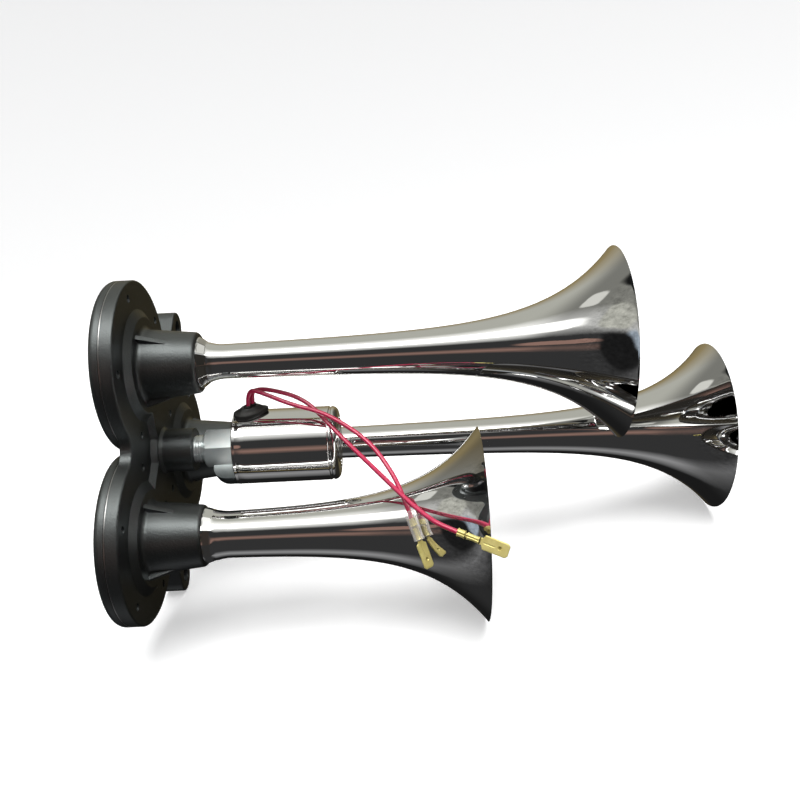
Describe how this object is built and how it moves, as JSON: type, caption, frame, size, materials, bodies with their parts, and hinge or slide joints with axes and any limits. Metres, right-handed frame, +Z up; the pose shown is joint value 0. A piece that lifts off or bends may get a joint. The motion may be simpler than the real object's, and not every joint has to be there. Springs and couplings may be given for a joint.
{
  "type": "car air horn",
  "caption": "Trumpet air horn: long, medium and short chromed bells on one black diaphragm manifold, with a solenoid valve and two wires with blade terminals.",
  "frame": {"origin": "in the plane of the covers' backs and the ears' backs, where the valve's axis meets it", "axes": "+X the way the trumpets point, +Z up through the medium trumpet"},
  "size_m": [0.3094, 0.1802, 0.1839],
  "materials": {
    "black_plastic": "fine moulded texture",
    "rubber": "smooth",
    "spring_steel": "bright rolled",
    "zinc_plated_steel": "zinc plated",
    "chrome": "mirror plating",
    "zinc": "machined, plated",
    "bobbin_plastic": "moulded",
    "copper_winding": "enamelled copper wire",
    "brass": "stamped or drawn",
    "magnetic_steel": "turned",
    "red_insulation": "extruded",
    "clear_sleeve": "clear, flexible"
  },
  "bodies": {
    "horn": {"manifold_body": "black_plastic", "rear_cover_medium": "black_plastic", "cover_gasket_medium": "rubber", "diaphragm_medium": "spring_steel", "cover_screws_medium": "zinc_plated_steel", "trumpet_medium": "chrome", "trumpet_seal_medium": "rubber", "rear_cover_short": "black_plastic", "cover_gasket_short": "rubber", "diaphragm_short": "spring_steel", "cover_screws_short": "zinc_plated_steel", "trumpet_short": "chrome", "trumpet_seal_short": "rubber", "rear_cover_long": "black_plastic", "cover_gasket_long": "rubber", "diaphragm_long": "spring_steel", "cover_screws_long": "zinc_plated_steel", "trumpet_long": "chrome", "trumpet_seal_long": "rubber", "valve_base": "zinc", "inlet_seal": "rubber", "valve_can": "chrome", "coil_bobbin": "bobbin_plastic", "coil_winding": "copper_winding", "guide_tube": "brass", "fixed_core": "magnetic_steel", "end_ring": "zinc_plated_steel", "return_spring": "spring_steel", "wire_grommet": "rubber", "wire_first": "red_insulation", "wire_second": "red_insulation", "terminal_first": "brass", "terminal_second": "brass", "terminal_sleeve": "clear_sleeve"},
    "plunger": {"plunger": "magnetic_steel", "plunger_seal": "rubber"}
  },
  "joints": [
    {"name": "plunger_slide", "type": "slide", "parent": "horn", "child": "plunger", "axis": [1, 0, 0], "range_m": [0, 0.002], "stiffness_N_per_m": 300, "springref_m": -0.003, "deforming": ["return_spring"]}
  ]
}
